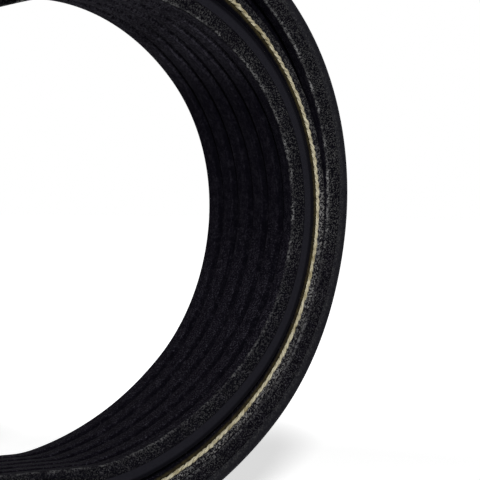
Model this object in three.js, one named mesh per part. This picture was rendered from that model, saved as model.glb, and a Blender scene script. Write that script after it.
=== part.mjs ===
// A serpentine belt for an engine's accessories: an endless belt with six lengthwise ribs, one moulded
// piece, wound into three nested turns with its ribs facing in. The coil stands on its rim, on the small
// flat spot that its own weight makes. X runs across the coil, Y along its axis and Z up, in millimetres.
// The origin is the middle of the coil's footprint, at the level that it stands on. The front is at -Y.
import * as THREE from "three";

// The section of the belt
const RIB_COUNT = 6;
const RIB_PITCH = 3.56;
const RIB_HEIGHT = 2.0;
const RIB_FLANK_ANGLE = 20;
const BACK_THICKNESS = 2.1;
const BELT_THICKNESS = RIB_HEIGHT + BACK_THICKNESS;
const BELT_WIDTH = RIB_COUNT * RIB_PITCH;

// The tension cord, which lies bare along the front edge of the middle turn
const CORD_DIAMETER = 0.9;
const CORD_SIDES = 8;
const CORD_CLEARANCE = 0.1;
const CORD_BELOW_SIDE = 0.25;
const SLOT_TAPER = 0.07;

// The outline of the hollow, along the rib tips: a flat spot, arcs up the right-hand side and over the
// top, and two arcs that close it on the left. Each arc runs to the given direction of its outward
// normal, in degrees counted anticlockwise from +X.
const FLAT_LENGTH = 24;
const FLAT_NORMAL = -90;
const FLAT_END_RADIUS = 20;
const LOWER_RIGHT_RADIUS = 57;
const RIGHT_SIDE_RADIUS = 34;
const UPPER_RIGHT_RADIUS = 29.5;
const TOP_RIGHT_RADIUS = 40;
const TOP_RADIUS = 39;
const SHOULDER_RADIUS = 82;
const RIGHT_ARCS = [
  { radius: FLAT_END_RADIUS, until: -78 },
  { radius: LOWER_RIGHT_RADIUS, until: -48 },
  { radius: RIGHT_SIDE_RADIUS, until: -5 },
  { radius: UPPER_RIGHT_RADIUS, until: 45 },
  { radius: TOP_RIGHT_RADIUS, until: 75 },
  { radius: TOP_RADIUS, until: 95 },
  { radius: SHOULDER_RADIUS, until: 122 },
];
const LEFT_NORMAL = 180;
const FULL_TURN = 360;

// How the turns lie: the inner, the middle and the outer one
const TURNS = 3;
const TURN_GAP = 0.15;
const TURN_SETBACK = [0, 1.5, 0.8];
const OUTER_TURN_LIFT = 2.7;
const LIFT_STARTS_BEFORE_CROSSING = 134;
const LIFT_ENDS_BEFORE_CROSSING = 40;

// The crossing on the left, where the outer turn runs in between the other two to become the inner one
const CROSSING_NORMAL = 161;
const CROSSING_HALF_LENGTH = 16;
const LEAD_IN_LENGTH = 38;
const LEAD_OUT_LENGTH = 36;
const CROSSING_SIDE_GAP = 0.6;
const CROSSING_LOOSENESS = 2.5;

// The bare stretch of the cord, as distances along the hollow's outline
const CORD_STARTS_AFTER_CROSSING = 54;
const CORD_ENDS_BEFORE_CROSSING = 62;

// Steps of the faceted surface: an arc's step is the smaller of these two
const STEP_ANGLE = 8;
const STEP_LENGTH = 7.5;
const FLAT_STEPS = 7;
const SAME_PLACE = 1e-6;

const radians = THREE.MathUtils.degToRad;
const smooth = (value) => THREE.MathUtils.smoothstep(value, 0, 1);

// What an arc of the outline adds to the place, from one direction of the normal to another.
function arcTravel(radius, from, to) {
  const x = Math.cos(radians(to)) - Math.cos(radians(from));
  const z = Math.sin(radians(to)) - Math.sin(radians(from));
  return new THREE.Vector2(x, z).multiplyScalar(radius);
}

// The arcs from the right-hand end of the flat spot to the end of the shoulder.
function rightArcs() {
  return RIGHT_ARCS.map(({ radius, until }, i) => ({
    radius,
    from: i === 0 ? FLAT_NORMAL : RIGHT_ARCS[i - 1].until,
    to: until,
  }));
}

// The two radii on the left that bring the outline back to the flat spot's left-hand end.
function closingRadii(arcs) {
  const end = new THREE.Vector2(FLAT_LENGTH, 0);
  for (const { radius, from, to } of arcs) end.add(arcTravel(radius, from, to));
  const shoulder = radians(arcs.at(-1).to);
  const upper = (end.x + end.y) / (1 + Math.cos(shoulder) + Math.sin(shoulder));
  return { upper, lower: end.y - upper * Math.sin(shoulder) };
}

// The stretches of the outline, from the crossing once round and back to it, each with its length.
function outlineStretches() {
  const right = rightArcs();
  const { upper, lower } = closingRadii(right);
  const withLength = (arc) => ({ ...arc, length: arc.radius * radians(arc.to - arc.from) });
  return [
    withLength({ radius: upper, from: CROSSING_NORMAL, to: LEFT_NORMAL }),
    withLength({ radius: lower, from: LEFT_NORMAL, to: FULL_TURN + FLAT_NORMAL }),
    { length: FLAT_LENGTH },
    ...right.map(withLength),
    withLength({ radius: upper, from: right.at(-1).to, to: CROSSING_NORMAL }),
  ];
}

// The place on a stretch, seen from its start, and the normal there.
function placeAlong({ radius, from, to, length }, distance) {
  if (!radius) return { place: new THREE.Vector2(distance, 0), normal: FLAT_NORMAL };
  const normal = from + ((to - from) * distance) / length;
  return { place: arcTravel(radius, from, normal), normal };
}

// Distances along a stretch, without its end: even steps, and the marks that lie between them.
function stepDistances({ radius, from, to, length }, marks) {
  const steps = radius ? Math.ceil(Math.max((to - from) / STEP_ANGLE, length / STEP_LENGTH)) : FLAT_STEPS;
  const even = Array.from({ length: steps }, (_, step) => (length * step) / steps);
  const between = marks.filter((mark) => {
    const toNearest = Math.min(...[...even, length].map((distance) => Math.abs(distance - mark)));
    return mark > 0 && mark < length && toNearest > SAME_PLACE;
  });
  return [...even, ...between].sort((a, b) => a - b);
}

// The whole outline as places, from the crossing once round and back to it, each with its normal and
// its distance after the crossing. The ends of the bare cord are among them.
function outlineStations() {
  const stretches = outlineStretches();
  const wholeLength = stretches.reduce((sum, stretch) => sum + stretch.length, 0);
  const cordEnds = [CORD_STARTS_AFTER_CROSSING, wholeLength - CORD_ENDS_BEFORE_CROSSING];
  const stations = [];
  const start = new THREE.Vector2();
  let before = 0;
  for (const stretch of stretches) {
    const marks = cordEnds.map((end) => end - before);
    for (const distance of stepDistances(stretch, marks)) {
      const { place, normal } = placeAlong(stretch, distance);
      stations.push({ place: place.add(start), normal: radians(normal), after: before + distance });
    }
    start.add(placeAlong(stretch, stretch.length).place);
    before += stretch.length;
  }
  return { stations, length: wholeLength };
}

// 1 where the turns pass each other at the crossing, down to 0 where they lie in order.
function nearCrossing(distance, lead) {
  return 1 - smooth((distance - CROSSING_HALF_LENGTH) / lead);
}

// The crossing moves the inner turn back and the middle one forward, and keeps the outer one in line.
const SIDE_STEP = BELT_WIDTH + CROSSING_SIDE_GAP;
const STEP_AT_END_OF_TURN = [SIDE_STEP, -SIDE_STEP, 0];

// The turn's place among the others: 0 is innermost. It changes across the crossing.
function layerOf(turn, after, before) {
  const next = (turn + 1) % TURNS;
  const previous = (turn + TURNS - 1) % TURNS;
  const passed = (distance) => smooth((distance / CROSSING_HALF_LENGTH + 1) / 2);
  if (before < CROSSING_HALF_LENGTH) return THREE.MathUtils.lerp(turn, next, passed(-before));
  if (after < CROSSING_HALF_LENGTH) return THREE.MathUtils.lerp(previous, turn, passed(after));
  return turn;
}

// How far the outer turn stands off the middle one, over the top.
function liftOf(turn, before) {
  const range = LIFT_STARTS_BEFORE_CROSSING - LIFT_ENDS_BEFORE_CROSSING;
  const share = THREE.MathUtils.clamp((before - LIFT_ENDS_BEFORE_CROSSING) / range, 0, 1);
  return turn === TURNS - 1 ? OUTER_TURN_LIFT * Math.sin(Math.PI * share) ** 2 : 0;
}

// The middle of the rib tips along the whole belt, through all its turns.
function beltPath() {
  const { stations, length } = outlineStations();
  const path = [];
  for (let turn = 0; turn < TURNS; turn += 1) {
    const previous = (turn + TURNS - 1) % TURNS;
    for (const { place, normal, after } of stations) {
      const before = length - after;
      const entering = nearCrossing(after, LEAD_OUT_LENGTH);
      const leaving = nearCrossing(before, LEAD_IN_LENGTH);
      const loose = Math.max(entering, leaving) * CROSSING_LOOSENESS;
      const out = layerOf(turn, after, before) * (BELT_THICKNESS + TURN_GAP + loose) + liftOf(turn, before);
      const setback = TURN_SETBACK[turn] * (1 - entering) * (1 - leaving);
      const sideStep = STEP_AT_END_OF_TURN[previous] * entering + STEP_AT_END_OF_TURN[turn] * leaving;
      const point = new THREE.Vector3(
        place.x + out * Math.cos(normal),
        setback + sideStep,
        place.y + out * Math.sin(normal),
      );
      path.push({ point, turn, after, before });
    }
  }
  return path;
}

// Adds to each place the directions of its section: up is out of the coil, across is to the back.
// The nearer of the two neighbouring places counts for more, which keeps the sections square to the path.
function withDirections(path) {
  return path.map((place, i) => {
    const ahead = path[(i + 1) % path.length].point.clone().sub(place.point);
    const behind = place.point.clone().sub(path[(i + path.length - 1) % path.length].point);
    const ratio = behind.length() / ahead.length();
    const along = ahead.multiplyScalar(ratio).addScaledVector(behind, 1 / ratio).normalize();
    const up = new THREE.Vector3(along.z, 0, -along.x).normalize();
    return { ...place, up, across: along.clone().cross(up) };
  });
}

// The ribs' side of the section, from the front edge to the back edge: [across, height] pairs.
function ribPoints() {
  const flankRun = RIB_HEIGHT * Math.tan(radians(RIB_FLANK_ANGLE));
  const points = [];
  for (let rib = 0; rib < RIB_COUNT; rib += 1) {
    const groove = -BELT_WIDTH / 2 + rib * RIB_PITCH;
    points.push([groove, RIB_HEIGHT], [groove + flankRun, 0], [groove + RIB_PITCH - flankRun, 0]);
  }
  points.push([BELT_WIDTH / 2, RIB_HEIGHT]);
  return points;
}

const SLOT_FLOOR_HALF = CORD_DIAMETER / 2 + CORD_CLEARANCE;
const SLOT_MOUTH_HALF = SLOT_FLOOR_HALF + SLOT_TAPER;
const SLOT_DEPTH = CORD_BELOW_SIDE + SLOT_FLOOR_HALF;
const CORD_HEIGHT = RIB_HEIGHT + SLOT_MOUTH_HALF;

// The slot in the front edge that the bare cord lies in. Its mouth starts at the ribs' side of the edge.
// At depth 0 it is flush with the edge.
function slotPoints(depth) {
  const front = -BELT_WIDTH / 2;
  return [
    [front, CORD_HEIGHT + SLOT_MOUTH_HALF],
    [front + depth, CORD_HEIGHT + SLOT_FLOOR_HALF],
    [front + depth, CORD_HEIGHT - SLOT_FLOOR_HALF],
  ];
}

function beltSection(slotDepth) {
  const back = [[BELT_WIDTH / 2, BELT_THICKNESS], [-BELT_WIDTH / 2, BELT_THICKNESS]];
  return [...ribPoints(), ...back, ...slotPoints(slotDepth)];
}

function cordSection() {
  const centre = -BELT_WIDTH / 2 + CORD_BELOW_SIDE;
  return Array.from({ length: CORD_SIDES }, (_, side) => {
    const angle = (2 * Math.PI * (side + 0.5)) / CORD_SIDES;
    return [
      centre + (CORD_DIAMETER / 2) * Math.cos(angle),
      CORD_HEIGHT + (CORD_DIAMETER / 2) * Math.sin(angle),
    ];
  });
}

function placeSection({ point, up, across }, section) {
  return section.map(([side, height]) =>
    point.clone().addScaledVector(across, side).addScaledVector(up, height),
  );
}

// A solid skinned over a row of like sections: an endless one, or one with a flat face at each end.
function skin(rings, endless) {
  const count = rings[0].length;
  const faces = [];
  const last = endless ? rings.length : rings.length - 1;
  for (let ring = 0; ring < last; ring += 1) {
    const here = ring * count;
    const there = ((ring + 1) % rings.length) * count;
    for (let i = 0; i < count; i += 1) {
      const j = (i + 1) % count;
      faces.push(here + i, there + j, here + j, here + i, there + i, there + j);
    }
  }
  if (!endless) {
    const end = last * count;
    for (let i = 1; i < count - 1; i += 1) {
      faces.push(0, i, i + 1, end, end + i + 1, end + i);
    }
  }
  const geometry = new THREE.BufferGeometry().setFromPoints(rings.flat());
  geometry.setIndex(faces);
  geometry.computeVertexNormals();
  return geometry;
}

const MIDDLE_TURN = 1;

function cordIsBare({ turn, after, before }) {
  const started = after > CORD_STARTS_AFTER_CROSSING - SAME_PLACE;
  const ended = before < CORD_ENDS_BEFORE_CROSSING - SAME_PLACE;
  return turn === MIDDLE_TURN && started && !ended;
}

function makeBelt(path) {
  const rubber = new THREE.MeshStandardMaterial({ color: 0x1b1b1e, roughness: 0.8, metalness: 0 });
  const rings = path.map((place) => placeSection(place, beltSection(cordIsBare(place) ? SLOT_DEPTH : 0)));
  const belt = new THREE.Mesh(skin(rings, true), rubber);
  belt.name = "ribbed_belt";
  return belt;
}

function makeEdgeCord(path) {
  const twine = new THREE.MeshStandardMaterial({ color: 0xb9ab80, roughness: 0.9, metalness: 0 });
  const rings = path.filter(cordIsBare).map((place) => placeSection(place, cordSection()));
  const cord = new THREE.Mesh(skin(rings, false), twine);
  cord.name = "edge_cord";
  return cord;
}

// Sets the coil on the floor, with the middle of its footprint at the origin.
function standOnFloor(group) {
  const box = new THREE.Box3().setFromObject(group);
  const middle = box.getCenter(new THREE.Vector3());
  group.position.set(-middle.x, -middle.y, -box.min.z);
  return group;
}

const path = withDirections(beltPath());

export default standOnFloor(new THREE.Group().add(makeBelt(path), makeEdgeCord(path)));
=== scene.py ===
# The looks of a ribbed serpentine belt that lies coiled in three nested turns, ribs inwards, with its pale
# tension cord bare along one edge. Shapes are worked out in millimetres and their meshes are in metres.
# X runs across the coil, Y along its axis to the back, and Z up.
import math

import bpy
import numpy as np
from mathutils import Matrix, Vector


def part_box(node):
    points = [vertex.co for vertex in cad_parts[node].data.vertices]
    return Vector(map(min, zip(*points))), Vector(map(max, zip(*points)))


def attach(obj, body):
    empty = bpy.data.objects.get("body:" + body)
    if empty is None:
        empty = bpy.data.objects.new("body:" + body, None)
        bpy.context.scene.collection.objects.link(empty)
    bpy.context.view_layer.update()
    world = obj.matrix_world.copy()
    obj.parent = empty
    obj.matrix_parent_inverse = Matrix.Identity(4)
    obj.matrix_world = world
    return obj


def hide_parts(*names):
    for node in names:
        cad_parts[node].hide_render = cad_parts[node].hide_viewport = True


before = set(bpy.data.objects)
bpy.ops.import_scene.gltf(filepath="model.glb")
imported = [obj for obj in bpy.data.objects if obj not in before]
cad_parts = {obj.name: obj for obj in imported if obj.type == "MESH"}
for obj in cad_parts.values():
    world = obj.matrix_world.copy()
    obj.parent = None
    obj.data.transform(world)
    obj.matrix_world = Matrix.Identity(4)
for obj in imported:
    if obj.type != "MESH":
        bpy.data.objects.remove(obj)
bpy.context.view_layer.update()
METRES = 0.001

# The section of the belt
RIB_COUNT = 6
RIB_PITCH = 3.56
RIB_HEIGHT = 2.0
RIB_FLANK_ANGLE = 20
RIB_FLANK_RUN = RIB_HEIGHT * math.tan(math.radians(RIB_FLANK_ANGLE))
BELT_THICKNESS = 4.1
BELT_WIDTH = RIB_COUNT * RIB_PITCH
FRONT = -BELT_WIDTH / 2

# The tension cord along the front edge of the middle turn, and the slot that it lies in. The slot's
# fullness is a power: at 1 the slot is half an ellipse, and below 1 it is fuller.
CORD_DIAMETER = 0.9
CORD_BELOW_SIDE = 0.25
CORD_HEIGHT = RIB_HEIGHT + 0.57
SLOT_HALF_WIDTH = 0.56
SLOT_DEPTH = 0.75
SLOT_FULLNESS = 0.7
SLOT_POINTS = 9

# How far the section's corners are cut back to be rounded, and the most of an edge that one corner takes
GROOVE_CUT_BACK = 0.3
TIP_CUT_BACK = 0.16
SIDE_CUT_BACK = 0.06
BACK_CUT_BACK = 0.2
LARGEST_SHARE_OF_EDGE = 0.45

# The outline of the hollow, along the rib tips: (radius, direction of the normal at its end in degrees)
FLAT_LENGTH = 24
FLAT_NORMAL = -90
RIGHT_ARCS = [(20, -78), (57, -48), (34, -5), (29.5, 45), (40, 75), (39, 95), (82, 122)]
LEFT_NORMAL = 180

# How the turns lie, in the order inner, middle, outer
TURNS = 3
MIDDLE_TURN = 1
TURN_GAP = 0.15
TURN_SETBACK = [0, 1.5, 0.8]
OUTER_TURN_LIFT = 2.7
LIFT_STARTS_BEFORE_CROSSING = 134
LIFT_ENDS_BEFORE_CROSSING = 40

# The crossing on the left, where the outer turn runs in between the other two to become the inner one
CROSSING_NORMAL = 161
CROSSING_HALF_LENGTH = 16
LEAD_IN_LENGTH = 38
LEAD_OUT_LENGTH = 36
CROSSING_CLEARANCE = 0.6
SIDE_STEP = BELT_WIDTH + CROSSING_CLEARANCE
STEP_AT_END_OF_TURN = [SIDE_STEP, -SIDE_STEP, 0]
CROSSING_LOOSENESS = 2.5
CORD_STARTS_AFTER_CROSSING = 54
CORD_ENDS_BEFORE_CROSSING = 62
CORD_END_LENGTH = 5

# The longest step along the hollow's outline from one section of the belt to the next
STEP_LENGTH = 1.0


def smooth(value):
    value = np.clip(value, 0, 1)
    return value * value * (3 - 2 * value)


def smooth_noise(rng, places, spacing):
    """Random values around 0 that change smoothly along the places."""
    knots = np.arange(places.min() - spacing, places.max() + 2 * spacing, spacing)
    return np.interp(places, knots, rng.normal(0, 1, len(knots)))


# The path of the belt


def arc_travel(radius, start, end):
    a, b = np.radians(start), np.radians(end)
    return radius * np.array([np.cos(b) - np.cos(a), np.sin(b) - np.sin(a)])


def right_arcs():
    starts = [FLAT_NORMAL] + [until for _, until in RIGHT_ARCS[:-1]]
    return [(radius, start, until) for (radius, until), start in zip(RIGHT_ARCS, starts)]


def closing_radii():
    """The two radii on the left that bring the outline back to the flat spot."""
    end = np.array([FLAT_LENGTH, 0.0]) + sum(arc_travel(*arc) for arc in right_arcs())
    shoulder = math.radians(RIGHT_ARCS[-1][1])
    upper = end.sum() / (1 + math.cos(shoulder) + math.sin(shoulder))
    return upper, end[1] - upper * math.sin(shoulder)


def outline():
    """Rows of x, z, the normal's angle and the distance after the crossing; and the whole length."""
    upper, lower = closing_radii()
    left = [(upper, CROSSING_NORMAL, LEFT_NORMAL), (lower, LEFT_NORMAL, 360 + FLAT_NORMAL), None]
    top = [(upper, RIGHT_ARCS[-1][1], CROSSING_NORMAL)]
    rows, start, length = [], np.zeros(2), 0.0
    for arc in left + right_arcs() + top:
        if arc:
            radius, begin, end = arc
            travel = radius * math.radians(end - begin)
        else:
            begin, end, travel = FLAT_NORMAL, FLAT_NORMAL, FLAT_LENGTH
        steps = math.ceil(travel / STEP_LENGTH)
        for share in np.arange(steps) / steps:
            normal = begin + (end - begin) * share
            place = arc_travel(radius, begin, normal) if arc else np.array([travel * share, 0])
            rows.append((*(start + place), math.radians(normal), length + travel * share))
        start = start + (arc_travel(radius, begin, end) if arc else np.array([travel, 0]))
        length += travel
    return np.array(rows), length


def near_crossing(distance, lead):
    return 1 - smooth((distance - CROSSING_HALF_LENGTH) / lead)


def layer_of(turn, after, before):
    """The turn's place among the others, which changes across the crossing. 0 is innermost."""
    following, previous = (turn + 1) % TURNS, (turn - 1) % TURNS
    leaving = turn + (following - turn) * smooth((1 - before / CROSSING_HALF_LENGTH) / 2)
    entering = previous + (turn - previous) * smooth((1 + after / CROSSING_HALF_LENGTH) / 2)
    layer = np.where(before < CROSSING_HALF_LENGTH, leaving, float(turn))
    return np.where(after < CROSSING_HALF_LENGTH, entering, layer)


def belt_path():
    """The middle of the rib tips along the whole belt, the turn of each place and its distances."""
    rows, length = outline()
    x, z, normal, after = rows.T
    before = length - after
    points, turns = [], []
    for turn in range(TURNS):
        entering = near_crossing(after, LEAD_OUT_LENGTH)
        leaving = near_crossing(before, LEAD_IN_LENGTH)
        pitch = BELT_THICKNESS + TURN_GAP + CROSSING_LOOSENESS * np.maximum(entering, leaving)
        out = layer_of(turn, after, before) * pitch
        if turn == TURNS - 1:
            lift_range = LIFT_STARTS_BEFORE_CROSSING - LIFT_ENDS_BEFORE_CROSSING
            share = np.clip((before - LIFT_ENDS_BEFORE_CROSSING) / lift_range, 0, 1)
            out = out + OUTER_TURN_LIFT * np.sin(np.pi * share) ** 2
        y = TURN_SETBACK[turn] * (1 - entering) * (1 - leaving)
        y = y + STEP_AT_END_OF_TURN[turn - 1] * entering + STEP_AT_END_OF_TURN[turn] * leaving
        points.append(np.stack([x + out * np.cos(normal), y, z + out * np.sin(normal)], 1))
        turns.append(np.full(len(x), turn))
    return np.concatenate(points), np.concatenate(turns), np.tile(after, TURNS), np.tile(before, TURNS)


def directions(points):
    """Out of the coil and across the belt to the back, at each place."""
    along = np.roll(points, -1, 0) - np.roll(points, 1, 0)
    along /= np.linalg.norm(along, axis=1)[:, None]
    up = np.stack([along[:, 2], np.zeros(len(along)), -along[:, 0]], 1)
    up /= np.linalg.norm(up, axis=1)[:, None]
    return up, np.cross(along, up)


def bareness(turns, after, before):
    """1 where the cord lies bare, fading to 0 at both ends of that stretch."""
    ends = np.minimum(after - CORD_STARTS_AFTER_CROSSING, before - CORD_ENDS_BEFORE_CROSSING)
    return np.where(turns == MIDDLE_TURN, smooth(ends / CORD_END_LENGTH), 0.0)


# The section of the belt


def rounded(corners, setbacks, steps=3):
    """A closed line of (side, height) points whose corners are cut back and rounded."""
    corners, line = np.array(corners, float), []
    for i, corner in enumerate(corners):
        ends = []
        for neighbour in (corners[i - 1], corners[(i + 1) % len(corners)]):
            away = neighbour - corner
            share = min(setbacks[i] / np.linalg.norm(away), LARGEST_SHARE_OF_EDGE)
            ends.append(corner + away * share)
        for t in np.linspace(0, 1, steps + 1):
            line.append((1 - t) ** 2 * ends[0] + 2 * t * (1 - t) * corner + t * t * ends[1])
    return np.array(line)


def belt_corners():
    corners, setbacks = [], []
    for rib in range(RIB_COUNT):
        groove = FRONT + rib * RIB_PITCH
        tip_end = groove + RIB_PITCH - RIB_FLANK_RUN
        corners += [(groove, RIB_HEIGHT), (groove + RIB_FLANK_RUN, 0), (tip_end, 0)]
        setbacks += [GROOVE_CUT_BACK if rib else SIDE_CUT_BACK, TIP_CUT_BACK, TIP_CUT_BACK]
    corners += [(-FRONT, RIB_HEIGHT), (-FRONT, BELT_THICKNESS), (FRONT, BELT_THICKNESS)]
    setbacks += [SIDE_CUT_BACK, BACK_CUT_BACK, BACK_CUT_BACK]
    return corners, setbacks


def belt_sections(bare):
    """One section for each place along the belt, with its slot as deep as the cord is bare there."""
    line = rounded(*belt_corners())
    across_slot = np.linspace(1, -1, SLOT_POINTS)
    slot_height = CORD_HEIGHT + SLOT_HALF_WIDTH * across_slot
    slot_shape = np.sqrt(np.maximum(1 - across_slot ** 2, 0)) ** SLOT_FULLNESS
    sides = np.concatenate([line[:, 0], np.full(SLOT_POINTS, FRONT)])
    heights = np.concatenate([line[:, 1], slot_height])
    side = np.repeat(sides[None], len(bare), 0)
    side[:, len(line):] += np.outer(bare, SLOT_DEPTH * slot_shape)
    return side, heights


def swept_mesh(name, rings, around, along_distance, endless):
    """A mesh skinned over rings of points, with a UV map in metres: along the path, and around the ring."""
    count, size = rings.shape[:2]
    used = count if endless else count - 1
    i, j = np.meshgrid(np.arange(used), np.arange(size), indexing="ij")
    i_next, j_next = (i + 1) % count, (j + 1) % size
    quads = np.stack([i * size + j, i_next * size + j, i_next * size + j_next, i * size + j_next], -1)
    faces = quads.reshape(-1, 4).tolist()
    if not endless:
        faces += [list(range(size)), list(range((count - 1) * size, count * size))[::-1]]
    mesh = bpy.data.meshes.new(name)
    mesh.from_pydata((rings.reshape(-1, 3) * METRES).tolist(), [], faces)
    u = np.stack([along_distance[i], along_distance[i + 1], along_distance[i + 1], along_distance[i]], -1)
    v = np.stack([around[j], around[j], around[j + 1], around[j + 1]], -1)
    uv = np.stack([u, v], -1).reshape(-1, 2) * METRES
    spare = len(mesh.loops) - len(uv)
    layer = mesh.uv_layers.new(name="along_and_around")
    layer.data.foreach_set("uv", np.concatenate([uv, np.zeros((spare, 2))]).ravel())
    mesh.polygons.foreach_set("use_smooth", np.ones(len(mesh.polygons), bool))
    mesh.validate()
    return mesh


def add_values(mesh, name, values):
    layer = mesh.attributes.new(name, "FLOAT", "POINT")
    layer.data.foreach_set("value", np.ascontiguousarray(values, np.float32).ravel())


def add_object(name, mesh, material):
    piece = bpy.data.objects.new(name, mesh)
    bpy.context.scene.collection.objects.link(piece)
    mesh.materials.append(material)
    return piece


def running_total(steps):
    return np.concatenate([[0.0], np.cumsum(steps)])


class Coil:
    """The path of the belt in the part's own frame, with what its pieces need to know at each place."""

    def __init__(self):
        points, self.turns, after, before = belt_path()
        self.bare = bareness(self.turns, after, before)
        self.up, self.across = directions(points)
        self.side, self.height = belt_sections(self.bare)
        self.points = points
        rings = self.rings()
        low, high = (np.array(corner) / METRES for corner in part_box("ribbed_belt"))
        belt_low, belt_high = rings.reshape(-1, 3).min(0), rings.reshape(-1, 3).max(0)
        shift = (low + high) / 2 - (belt_low + belt_high) / 2
        shift[2] = low[2] - belt_low[2]
        self.points = points + shift
        steps = np.linalg.norm(np.roll(points, -1, 0) - points, axis=1)
        self.distance = running_total(steps)

    def rings(self):
        out = self.height[None, :, None] * self.up[:, None, :]
        return self.points[:, None, :] + self.side[:, :, None] * self.across[:, None, :] + out


# Materials


def add_node(tree, kind, inputs=None, **settings):
    node = tree.nodes.new(kind)
    for name, value in settings.items():
        setattr(node, name, value)
    for name, value in (inputs or {}).items():
        if isinstance(value, bpy.types.NodeSocket):
            tree.links.new(value, node.inputs[name])
        else:
            node.inputs[name].default_value = value
    return node


def new_material(name):
    material = bpy.data.materials.new(name)
    material.use_nodes = True
    return material, material.node_tree, material.node_tree.nodes["Principled BSDF"]


def ramp(tree, value, low, high, start=0.0, end=1.0):
    """The value's way from low to high, turned into a smooth change from start to end."""
    inputs = {"Value": value, "From Min": low, "From Max": high, "To Min": start, "To Max": end}
    return add_node(tree, "ShaderNodeMapRange", inputs, interpolation_type="SMOOTHSTEP").outputs["Result"]


def calc(tree, operation, first, second):
    return add_node(tree, "ShaderNodeMath", {0: first, 1: second}, operation=operation).outputs["Value"]


def product(tree, *values):
    total = values[0]
    for value in values[1:]:
        total = calc(tree, "MULTIPLY", total, value)
    return total


def opposite(tree, value):
    return calc(tree, "SUBTRACT", 1.0, value)


def mixed(tree, factor, first, second):
    inputs = {"Factor": factor, "A": first, "B": second}
    node = add_node(tree, "ShaderNodeMix", data_type="RGBA")
    for name, value in inputs.items():
        socket = next(s for s in node.inputs if s.name == name and s.enabled)
        if isinstance(value, bpy.types.NodeSocket):
            tree.links.new(value, socket)
        else:
            socket.default_value = value
    return next(s for s in node.outputs if s.enabled)


def noise(tree, coordinates, scale, detail=2.0, roughness=0.5):
    inputs = {"Vector": coordinates, "Scale": scale, "Detail": detail, "Roughness": roughness}
    return add_node(tree, "ShaderNodeTexNoise", inputs).outputs["Fac"]


def stretched(tree, coordinates, scale):
    inputs = {"Vector": coordinates, "Scale": scale}
    return add_node(tree, "ShaderNodeMapping", inputs).outputs["Vector"]


def attribute(tree, name):
    return add_node(tree, "ShaderNodeAttribute", attribute_name=name).outputs["Fac"]


def add_bump(tree, shader, relief, strength, metres):
    bump = add_node(tree, "ShaderNodeBump", {"Height": relief, "Strength": strength, "Distance": metres})
    tree.links.new(bump.outputs["Normal"], shader.inputs["Normal"])


# The rubber: its heights and distances inwards are in millimetres, and its levels above the floor in metres

RIB_RUBBER = (0.0021, 0.0018, 0.0034, 1)
RIB_STREAK = (0.0082, 0.0075, 0.0105, 1)
# Painted shade: the near-black put where shade falls, deep in the grooves, between the turns and in the
# cord's slot
PAINTED_SHADE = (0.0010, 0.0009, 0.0018, 1)
# Paler ribs towards the top of the inner turn, and their darker grain
PALE_TOP = (0.0780, 0.0740, 0.0920, 1)
PALE_TOP_DARKER = (0.0135, 0.0120, 0.0180, 1)
BACKING = (0.0088, 0.0086, 0.0115, 1)
# The outer turn's paler backing
PALER_BACKING = (0.0145, 0.0145, 0.0175, 1)
RUBBED_RIM = (0.032, 0.032, 0.035, 1)
RIB_SPECK = (0.046, 0.043, 0.055, 1)
FIBRE = (0.044, 0.044, 0.044, 1)
WORN_EDGE = (0.125, 0.125, 0.125, 1)
FUZZ = (0.120, 0.118, 0.116, 1)
# An olive band below the bare cord
OLIVE_BAND = (0.026, 0.021, 0.009, 1)


class Spot:
    """The spot of the rubber that is shaded: where it lies, and what its colours depend on."""

    def __init__(self, tree):
        self.place = add_node(tree, "ShaderNodeTexCoord").outputs["Object"]
        self.along = add_node(tree, "ShaderNodeUVMap", uv_map="along_and_around").outputs["UV"]
        self.level = add_node(tree, "ShaderNodeSeparateXYZ", {"Vector": self.place}).outputs["Z"]
        self.height = attribute(tree, "height_mm")
        self.inwards = calc(tree, "SUBTRACT", attribute(tree, "side_mm"), FRONT)
        self.paleness = attribute(tree, "paleness")
        self.cut = attribute(tree, "cut")
        self.bare = attribute(tree, "bare")
        self.low_down = ramp(tree, self.level, 0.030, 0.060, 1.0, 0.0)
        self.on_ribs = ramp(tree, self.height, 1.96, 2.1, 1.0, 0.0)
        self.front = ramp(tree, self.inwards, 1.0, 1.3, 1.0, 0.0)
        self.mottle = ramp(tree, noise(tree, self.place, 900, 3, 0.7), 0.4, 0.62)
        self.blotches = noise(tree, self.place, 800, 2, 0.6)
        self.grain = noise(tree, self.place, 4600, 1.5, 0.6)
        self.patches = ramp(tree, noise(tree, self.place, 190, 2), 0.36, 0.62, 0.5, 1.0)
        self.groove = self.blotchy_groove_shade(tree)

    # Painted shade deep in the grooves, uneven and in blotches
    def blotchy_groove_shade(self, tree):
        uneven = product(tree, noise(tree, self.place, 1500, 2, 0.6), 0.9)
        depth = calc(tree, "ADD", self.height, uneven)
        return product(tree, ramp(tree, depth, 0.40, 0.72), ramp(tree, self.blotches, 0.36, 0.58, 0.5, 1.0))


def rib_colour(tree, spot):
    """Mottled streaks along the belt, with painted shade deep in the grooves and on the front flanks,
    strongest on the middle turn, which lies between the others.
    """
    streaks = noise(tree, stretched(tree, spot.along, (420, 2600, 1)), 1.0, 3, 0.65)
    streaked = product(tree, ramp(tree, streaks, 0.38, 0.66), spot.mottle)
    colour = mixed(tree, streaked, RIB_RUBBER, RIB_STREAK)
    # Painted shade on the front flanks that aren't cut: all of the middle turn's, in the gap between the
    # other turns
    flank_shade = product(tree, spot.front, opposite(tree, spot.cut))
    in_shade = calc(tree, "MAXIMUM", spot.groove, flank_shade)
    return mixed(tree, product(tree, in_shade, 0.85), colour, PAINTED_SHADE)


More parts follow.
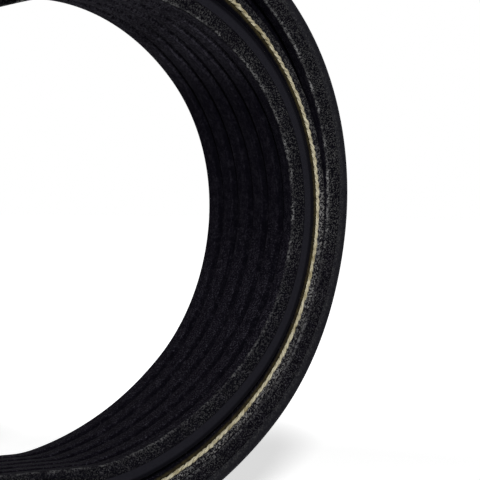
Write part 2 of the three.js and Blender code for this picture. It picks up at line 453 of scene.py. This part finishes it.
def with_paler_top(tree, spot, colour):
    """Paler, grainy ribs on the inner turn, towards the top of the coil."""
    pale_grain = ramp(tree, noise(tree, spot.place, 2600, 2, 0.7), 0.4, 0.62)
    pale_colour = mixed(tree, pale_grain, PALE_TOP_DARKER, PALE_TOP)
    high_up = ramp(tree, spot.level, 0.068, 0.091)
    inner_turn = ramp(tree, spot.paleness, 0.0, 0.15, 1.0, 0.0)
    uneven = ramp(tree, spot.blotches, 0.35, 0.65, 0.55, 1.0)
    paler = product(tree, high_up, inner_turn, opposite(tree, spot.front), uneven)
    return mixed(tree, paler, colour, pale_colour)


def backing_colour(tree, spot):
    """The smooth back: scuffed, paler and with a rubbed rim on the outer turn; painted shade beside the
    gaps between turns, and on the outer turn's front below its rim.
    """
    colour = mixed(tree, ramp(tree, spot.paleness, 0.2, 1.0), BACKING, PALER_BACKING)
    scuffs = ramp(tree, noise(tree, spot.place, 2300, 2, 0.6), 0.4, 0.62)
    scuffed = product(tree, scuffs, ramp(tree, spot.paleness, 0.2, 1.0, 0.15, 0.5))
    colour = mixed(tree, scuffed, colour, RIB_RUBBER)
    rim = ramp(tree, spot.height, 3.75, 4.05)
    rubbed = product(tree, rim, spot.paleness, ramp(tree, spot.mottle, 0, 1, 0.7, 0.2))
    colour = mixed(tree, rubbed, colour, RUBBED_RIM)
    # Painted shade on the inner turns' front edge, beside the gap to the next turn
    beside_gap = ramp(tree, spot.height, 3.2, 3.7)
    inner_turns = ramp(tree, spot.paleness, 0.0, 0.3, 0.9, 0.0)
    colour = mixed(tree, product(tree, beside_gap, inner_turns, spot.front), colour, PAINTED_SHADE)
    # Painted shade on the outer turn's front, below its rim
    below_rim = ramp(tree, spot.height, 3.6, 3.9, 0.4, 0.0)
    return mixed(tree, product(tree, spot.paleness, spot.front, below_rim), colour, PAINTED_SHADE)


def with_fibres(tree, spot, colour):
    """Pale ends of chopped fibres on the front's cut flanks and on the outer turn's edge, and specks on the
    ribs, most of them low down."""
    ends = ramp(tree, spot.grain, 0.5, 0.62)
    cut_flank = product(tree, spot.on_ribs, ramp(tree, spot.inwards, 0.75, 1.0, 1.0, 0.0), spot.cut)
    fewer_near_back = ramp(tree, spot.height, 0.4, 1.9, 1.0, 0.75)
    fewer_low_down = ramp(tree, spot.low_down, 0, 1, 1.0, 0.62)
    fibres = product(tree, ends, spot.patches, cut_flank, fewer_near_back, fewer_low_down)
    on_backing = opposite(tree, spot.on_ribs)
    below_rim = ramp(tree, spot.height, 2.6, 3.4, 0.5, 0.0)
    on_outer_edge = product(tree, spot.paleness, spot.front, on_backing, below_rim)
    fibres = calc(tree, "MAXIMUM", fibres, product(tree, ends, on_outer_edge))
    more_low_down = ramp(tree, spot.low_down, 0, 1, 0.1, 0.6)
    out_of_groove = ramp(tree, spot.groove, 0, 1, 1.0, 0.2)
    specks = product(tree, ramp(tree, spot.grain, 0.53, 0.68), spot.on_ribs, more_low_down, out_of_groove)
    colour = mixed(tree, specks, colour, RIB_SPECK)
    return mixed(tree, fibres, colour, FIBRE)


def with_wear(tree, spot, colour):
    """A ragged pale line along the tip of the front rib."""
    past_tip = calc(tree, "MAXIMUM", calc(tree, "SUBTRACT", spot.inwards, RIB_FLANK_RUN), 0.0)
    from_tip = calc(tree, "ADD", past_tip, product(tree, spot.height, 0.9))
    ragged = product(tree, noise(tree, spot.place, 1600, 3, 0.65), 1.1)
    edge = ramp(tree, calc(tree, "ADD", from_tip, ragged), 0.6, 0.95, 1.0, 0.0)
    worn = ramp(tree, noise(tree, spot.place, 2600, 2, 0.65), 0.43, 0.58)
    in_stretches = ramp(tree, noise(tree, spot.place, 420, 2), 0.4, 0.6, 0.15, 1.0)
    fainter_low_down = ramp(tree, spot.low_down, 0, 1, 1.0, 0.5)
    wear = product(tree, edge, spot.on_ribs, spot.front, worn, spot.cut, in_stretches, fainter_low_down)
    return mixed(tree, wear, colour, WORN_EDGE)


def tufts_of_fuzz(tree, spot, beside_cord):
    tufts = ramp(tree, noise(tree, spot.place, 4200, 1.5, 0.6), 0.47, 0.59)
    fewer_high_up = ramp(tree, spot.level, 0.046, 0.066, 1.0, 0.33)
    return product(tree, tufts, beside_cord, spot.patches, fewer_high_up)


def with_olive_band(tree, spot, colour):
    """An uneven olive band on the rubber between the bare cord and the ribs."""
    above_ribs = ramp(tree, spot.height, 1.45, 1.9)
    below_cord = ramp(tree, spot.height, 2.6, 2.9, 1.0, 0.0)
    uneven = ramp(tree, spot.mottle, 0, 1, 0.5, 1.0)
    olive_band = product(tree, above_ribs, below_cord, spot.bare, spot.front, uneven)
    return mixed(tree, olive_band, colour, OLIVE_BAND)


def rubber():
    """Rib rubber with chopped fibres in it, plain rubber backing, pale wear, fuzz beside the cord, and
    painted shade in the grooves, the gaps between turns and the cord's slot.
    """
    material, tree, shader = new_material("belt_rubber")
    spot = Spot(tree)
    ribs = with_paler_top(tree, spot, rib_colour(tree, spot))
    colour = mixed(tree, spot.on_ribs, backing_colour(tree, spot), ribs)
    colour = with_wear(tree, spot, with_fibres(tree, spot, colour))

    beside_cord = product(tree, ramp(tree, spot.height, 2.6, 3.0), spot.bare, spot.front)
    fuzz = tufts_of_fuzz(tree, spot, beside_cord)
    # Painted shade in the cord's slot beside the cord, under the fuzz
    colour = mixed(tree, product(tree, beside_cord, 0.75), colour, PAINTED_SHADE)
    colour = mixed(tree, fuzz, colour, FUZZ)
    colour = with_olive_band(tree, spot, colour)
    tree.links.new(colour, shader.inputs["Base Color"])

    roughness = ramp(tree, calc(tree, "MAXIMUM", spot.on_ribs, fuzz), 0, 1, 0.62, 0.9)
    tree.links.new(roughness, shader.inputs["Roughness"])
    shader.inputs["Specular IOR Level"].default_value = 0.015
    grainy = product(tree, spot.grain, ramp(tree, spot.on_ribs, 0, 1, 0.12, 1.0))
    add_bump(tree, shader, calc(tree, "ADD", grainy, fuzz), 0.7, 0.00012)
    return material


CREAM = (0.40, 0.372, 0.275, 1)
CREAM_SHADE = (0.135, 0.108, 0.045, 1)


def cord_yarn():
    """Cream polyester yarn: fine filaments along each ply, with duller patches."""
    material, tree, shader = new_material("cord_yarn")
    place = add_node(tree, "ShaderNodeTexCoord").outputs["Object"]
    along = add_node(tree, "ShaderNodeUVMap", uv_map="along_and_around").outputs["UV"]
    filaments = noise(tree, stretched(tree, along, (700, 9000, 1)), 1.0, 3, 0.6)
    patches = noise(tree, place, 500, 3, 0.6)
    dull = product(tree, ramp(tree, patches, 0.45, 0.7), 0.7)
    colour = mixed(tree, ramp(tree, filaments, 0.34, 0.62, 0.75, 0.0), CREAM, CREAM_SHADE)
    colour = mixed(tree, dull, colour, CREAM_SHADE)
    tree.links.new(colour, shader.inputs["Base Color"])
    shader.inputs["Roughness"].default_value = 0.85
    shader.inputs["Specular IOR Level"].default_value = 0.2
    add_bump(tree, shader, filaments, 0.5, 0.00008)
    return material


# Pieces of the belt

# How pale each turn is, and how much its front flank is cut and kept out of painted shade, in the order
# inner, middle, outer; and how many sections on each side a change from one turn to the next is spread over
PALENESS_OF_TURN = [0.0, 0.2, 1.0]
CUT_UNSHADED_OF_TURN = [0.8, 0.0, 1.0]
FADE_STEPS = 30


def faded(values):
    """Evens out the values' jumps from one turn to the next, along the endless belt."""
    width = 2 * FADE_STEPS + 1
    return np.convolve(np.pad(values, FADE_STEPS, mode="wrap"), np.ones(width) / width, "valid")


def make_belt(coil):
    rings = coil.rings()
    section = np.stack([coil.side.min(0), coil.height], 1)
    closed = np.vstack([section, section[:1]])
    around = running_total(np.linalg.norm(np.diff(closed, axis=0), axis=1))
    mesh = swept_mesh("belt", rings, around, coil.distance, True)
    count = len(rings)
    add_values(mesh, "height_mm", np.tile(coil.height, count))
    add_values(mesh, "side_mm", coil.side)
    add_values(mesh, "bare", np.repeat(coil.bare, len(section)))
    for name, of_turn in (("paleness", PALENESS_OF_TURN), ("cut", CUT_UNSHADED_OF_TURN)):
        add_values(mesh, name, np.repeat(faded(np.array(of_turn)[coil.turns]), len(section)))
    belt = add_object("moulded_belt", mesh, rubber())
    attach(belt, "root")
    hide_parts("ribbed_belt")


# The cord's two plies. Its wander and the plies' twist, offset and radius vary at random, each over a
# spacing of its own along the cord.
CORD_SEED = 11
CORD_END_DEPTH = CORD_DIAMETER + 0.1
CORD_WANDER = 0.06
WANDER_SPACING = 1.4
PLY_COUNT = 2
PLY_STEP = 0.16
PLY_SIDES = 8
PLY_PITCH = 2.5
TWIST_UNEVENNESS = 0.16
TWIST_SPACING = 2.0
PLY_OFFSET = 0.13
OFFSET_UNEVENNESS = 0.15
OFFSET_SPACING = 1.3
PLY_RADIUS = 0.24
RADIUS_UNEVENNESS = 0.16
RADIUS_SPACING = 0.7


def make_ply(name, centre, across, up, radius, distance):
    """The mesh of one ply: a tube of uneven radius along its centre line."""
    angles = 2 * math.pi * np.arange(PLY_SIDES) / PLY_SIDES
    cosines, sines = np.cos(angles)[None, :, None], np.sin(angles)[None, :, None]
    spokes = across[:, None, :] * cosines + up[:, None, :] * sines
    rings = centre[:, None, :] + spokes * radius[:, None, None]
    around = 2 * math.pi * PLY_RADIUS * np.arange(PLY_SIDES + 1) / PLY_SIDES
    reach = np.concatenate([distance, [distance[-1] + PLY_STEP]]) - distance[0]
    return swept_mesh(name, rings, around, reach, False)


def make_cord(coil):
    """The bare cord: two plies twisted round each other, which sink into the rubber at both ends."""
    rng = np.random.default_rng(CORD_SEED)
    lying = np.flatnonzero(coil.bare > 0)
    known = coil.distance[lying]
    distance = np.arange(known[0], known[-1], PLY_STEP)

    def at(values):
        return np.stack([np.interp(distance, known, column) for column in values[lying].T], 1)

    bare = np.interp(distance, known, coil.bare[lying])
    across, up = at(coil.across), at(coil.up)
    sunk = FRONT + CORD_BELOW_SIDE + (1 - bare) * CORD_END_DEPTH
    wander = CORD_WANDER * smooth_noise(rng, distance, WANDER_SPACING)
    middle = at(coil.points) + across * sunk[:, None] + up * (CORD_HEIGHT + wander)[:, None]
    turns = distance / PLY_PITCH + TWIST_UNEVENNESS * smooth_noise(rng, distance, TWIST_SPACING)
    yarn = cord_yarn()
    for ply in range(PLY_COUNT):
        phase = 2 * math.pi * (turns + ply / PLY_COUNT)
        offset = PLY_OFFSET * (1 + OFFSET_UNEVENNESS * smooth_noise(rng, distance, OFFSET_SPACING))
        out = across * (offset * np.cos(phase))[:, None] + up * (offset * np.sin(phase))[:, None]
        radius = PLY_RADIUS * (1 + RADIUS_UNEVENNESS * smooth_noise(rng, distance, RADIUS_SPACING))
        name = f"cord_ply_{ply + 1}"
        piece = add_object(name, make_ply(name, middle + out, across, up, radius, distance), yarn)
        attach(piece, "root")
        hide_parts("edge_cord")


# The floor, the lights and the camera, in metres

FLOOR_REACH = 6.0
FLOOR_WHITE = (0.95, 0.95, 0.95, 1)
FLOOR_GLOW_NEAR = 0.49
GLOW_STARTS = 0.14
GLOW_ENDS = 0.25
OBJECT_LIGHT = 0.1
LIGHT_TARGET = (0.02, 0, 0.05)
KEY_PLACE = (-0.786, -0.895, 0.384)
KEY_SIZE = 0.12
KEY_POWER = 20
OVERHEAD_PLACE = (0.1, -0.3, 1.4)
OVERHEAD_SIZE = 0.9
OVERHEAD_POWER = 3


def background_rays(tree):
    """1 for the rays that see the white background: those of the camera, of gloss and of glass."""
    rays = add_node(tree, "ShaderNodeLightPath").outputs
    seen = calc(tree, "MAXIMUM", rays["Is Camera Ray"], rays["Is Glossy Ray"])
    return calc(tree, "MAXIMUM", seen, rays["Is Transmission Ray"])


def make_floor():
    """A white floor that keeps the coil's shadow and glows white further out, so that no horizon shows."""
    corners = [(x * FLOOR_REACH, y * FLOOR_REACH, 0) for x, y in ((-1, -1), (1, -1), (1, 1), (-1, 1))]
    mesh = bpy.data.meshes.new("floor")
    mesh.from_pydata(corners, [], [(0, 1, 2, 3)])
    material, tree, shader = new_material("floor_paint")
    shader.inputs["Base Color"].default_value = FLOOR_WHITE
    shader.inputs["Roughness"].default_value = 0.9
    shader.inputs["Specular IOR Level"].default_value = 0.0
    shader.inputs["Emission Color"].default_value = (1, 1, 1, 1)
    place = add_node(tree, "ShaderNodeTexCoord").outputs["Object"]
    away = add_node(tree, "ShaderNodeVectorMath", {0: place}, operation="LENGTH").outputs["Value"]
    glow = ramp(tree, away, GLOW_STARTS, GLOW_ENDS, FLOOR_GLOW_NEAR, 1.0)
    tree.links.new(calc(tree, "MULTIPLY", background_rays(tree), glow), shader.inputs["Emission Strength"])
    add_object("floor", mesh, material)


def make_world():
    world = bpy.data.worlds.new("studio")
    world.use_nodes = True
    tree = world.node_tree
    background = tree.nodes["Background"]
    background.inputs["Color"].default_value = (1, 1, 1, 1)
    strength = ramp(tree, background_rays(tree), 0, 1, OBJECT_LIGHT, 1.0)
    tree.links.new(strength, background.inputs["Strength"])
    bpy.context.scene.world = world


def make_lamp(name, place, size, power):
    lamp = bpy.data.lights.new(name, "AREA")
    lamp.shape = "DISK"
    lamp.size = size
    lamp.energy = power
    holder = bpy.data.objects.new(name, lamp)
    holder.location = place
    holder.rotation_euler = (Vector(LIGHT_TARGET) - Vector(place)).to_track_quat("-Z", "Y").to_euler()
    bpy.context.scene.collection.objects.link(holder)


CAMERA_YAW = 43.898
CAMERA_PITCH = -0.951
CAMERA_ROLL = 0.745
CAMERA_DISTANCE = 0.35565
CAMERA_TARGET = (0.046742, 0.0, 0.046164)
FOCAL_LENGTH = 161.47
SENSOR_WIDTH = 36
NEAREST_SEEN = 0.01


def make_camera():
    yaw, pitch, roll = (math.radians(angle) for angle in (CAMERA_YAW, CAMERA_PITCH, CAMERA_ROLL))
    forward = Vector((math.sin(yaw) * math.cos(pitch), math.cos(yaw) * math.cos(pitch), math.sin(pitch)))
    level_right = Vector((math.cos(yaw), -math.sin(yaw), 0))
    level_up = level_right.cross(forward)
    right = level_right * math.cos(roll) + level_up * math.sin(roll)
    up = level_up * math.cos(roll) - level_right * math.sin(roll)
    camera = bpy.data.cameras.new("camera")
    camera.sensor_width = SENSOR_WIDTH
    camera.lens = FOCAL_LENGTH
    camera.clip_start = NEAREST_SEEN
    holder = bpy.data.objects.new("camera", camera)
    turned = Matrix((right, up, -forward)).transposed().to_4x4()
    holder.matrix_world = Matrix.Translation(Vector(CAMERA_TARGET) - forward * CAMERA_DISTANCE) @ turned
    bpy.context.scene.collection.objects.link(holder)
    bpy.context.scene.camera = holder


make_camera()
coil = Coil()
make_belt(coil)
make_cord(coil)
make_floor()
make_world()
make_lamp("key", KEY_PLACE, KEY_SIZE, KEY_POWER)
make_lamp("overhead", OVERHEAD_PLACE, OVERHEAD_SIZE, OVERHEAD_POWER)
bpy.context.scene.view_settings.view_transform = "Standard"
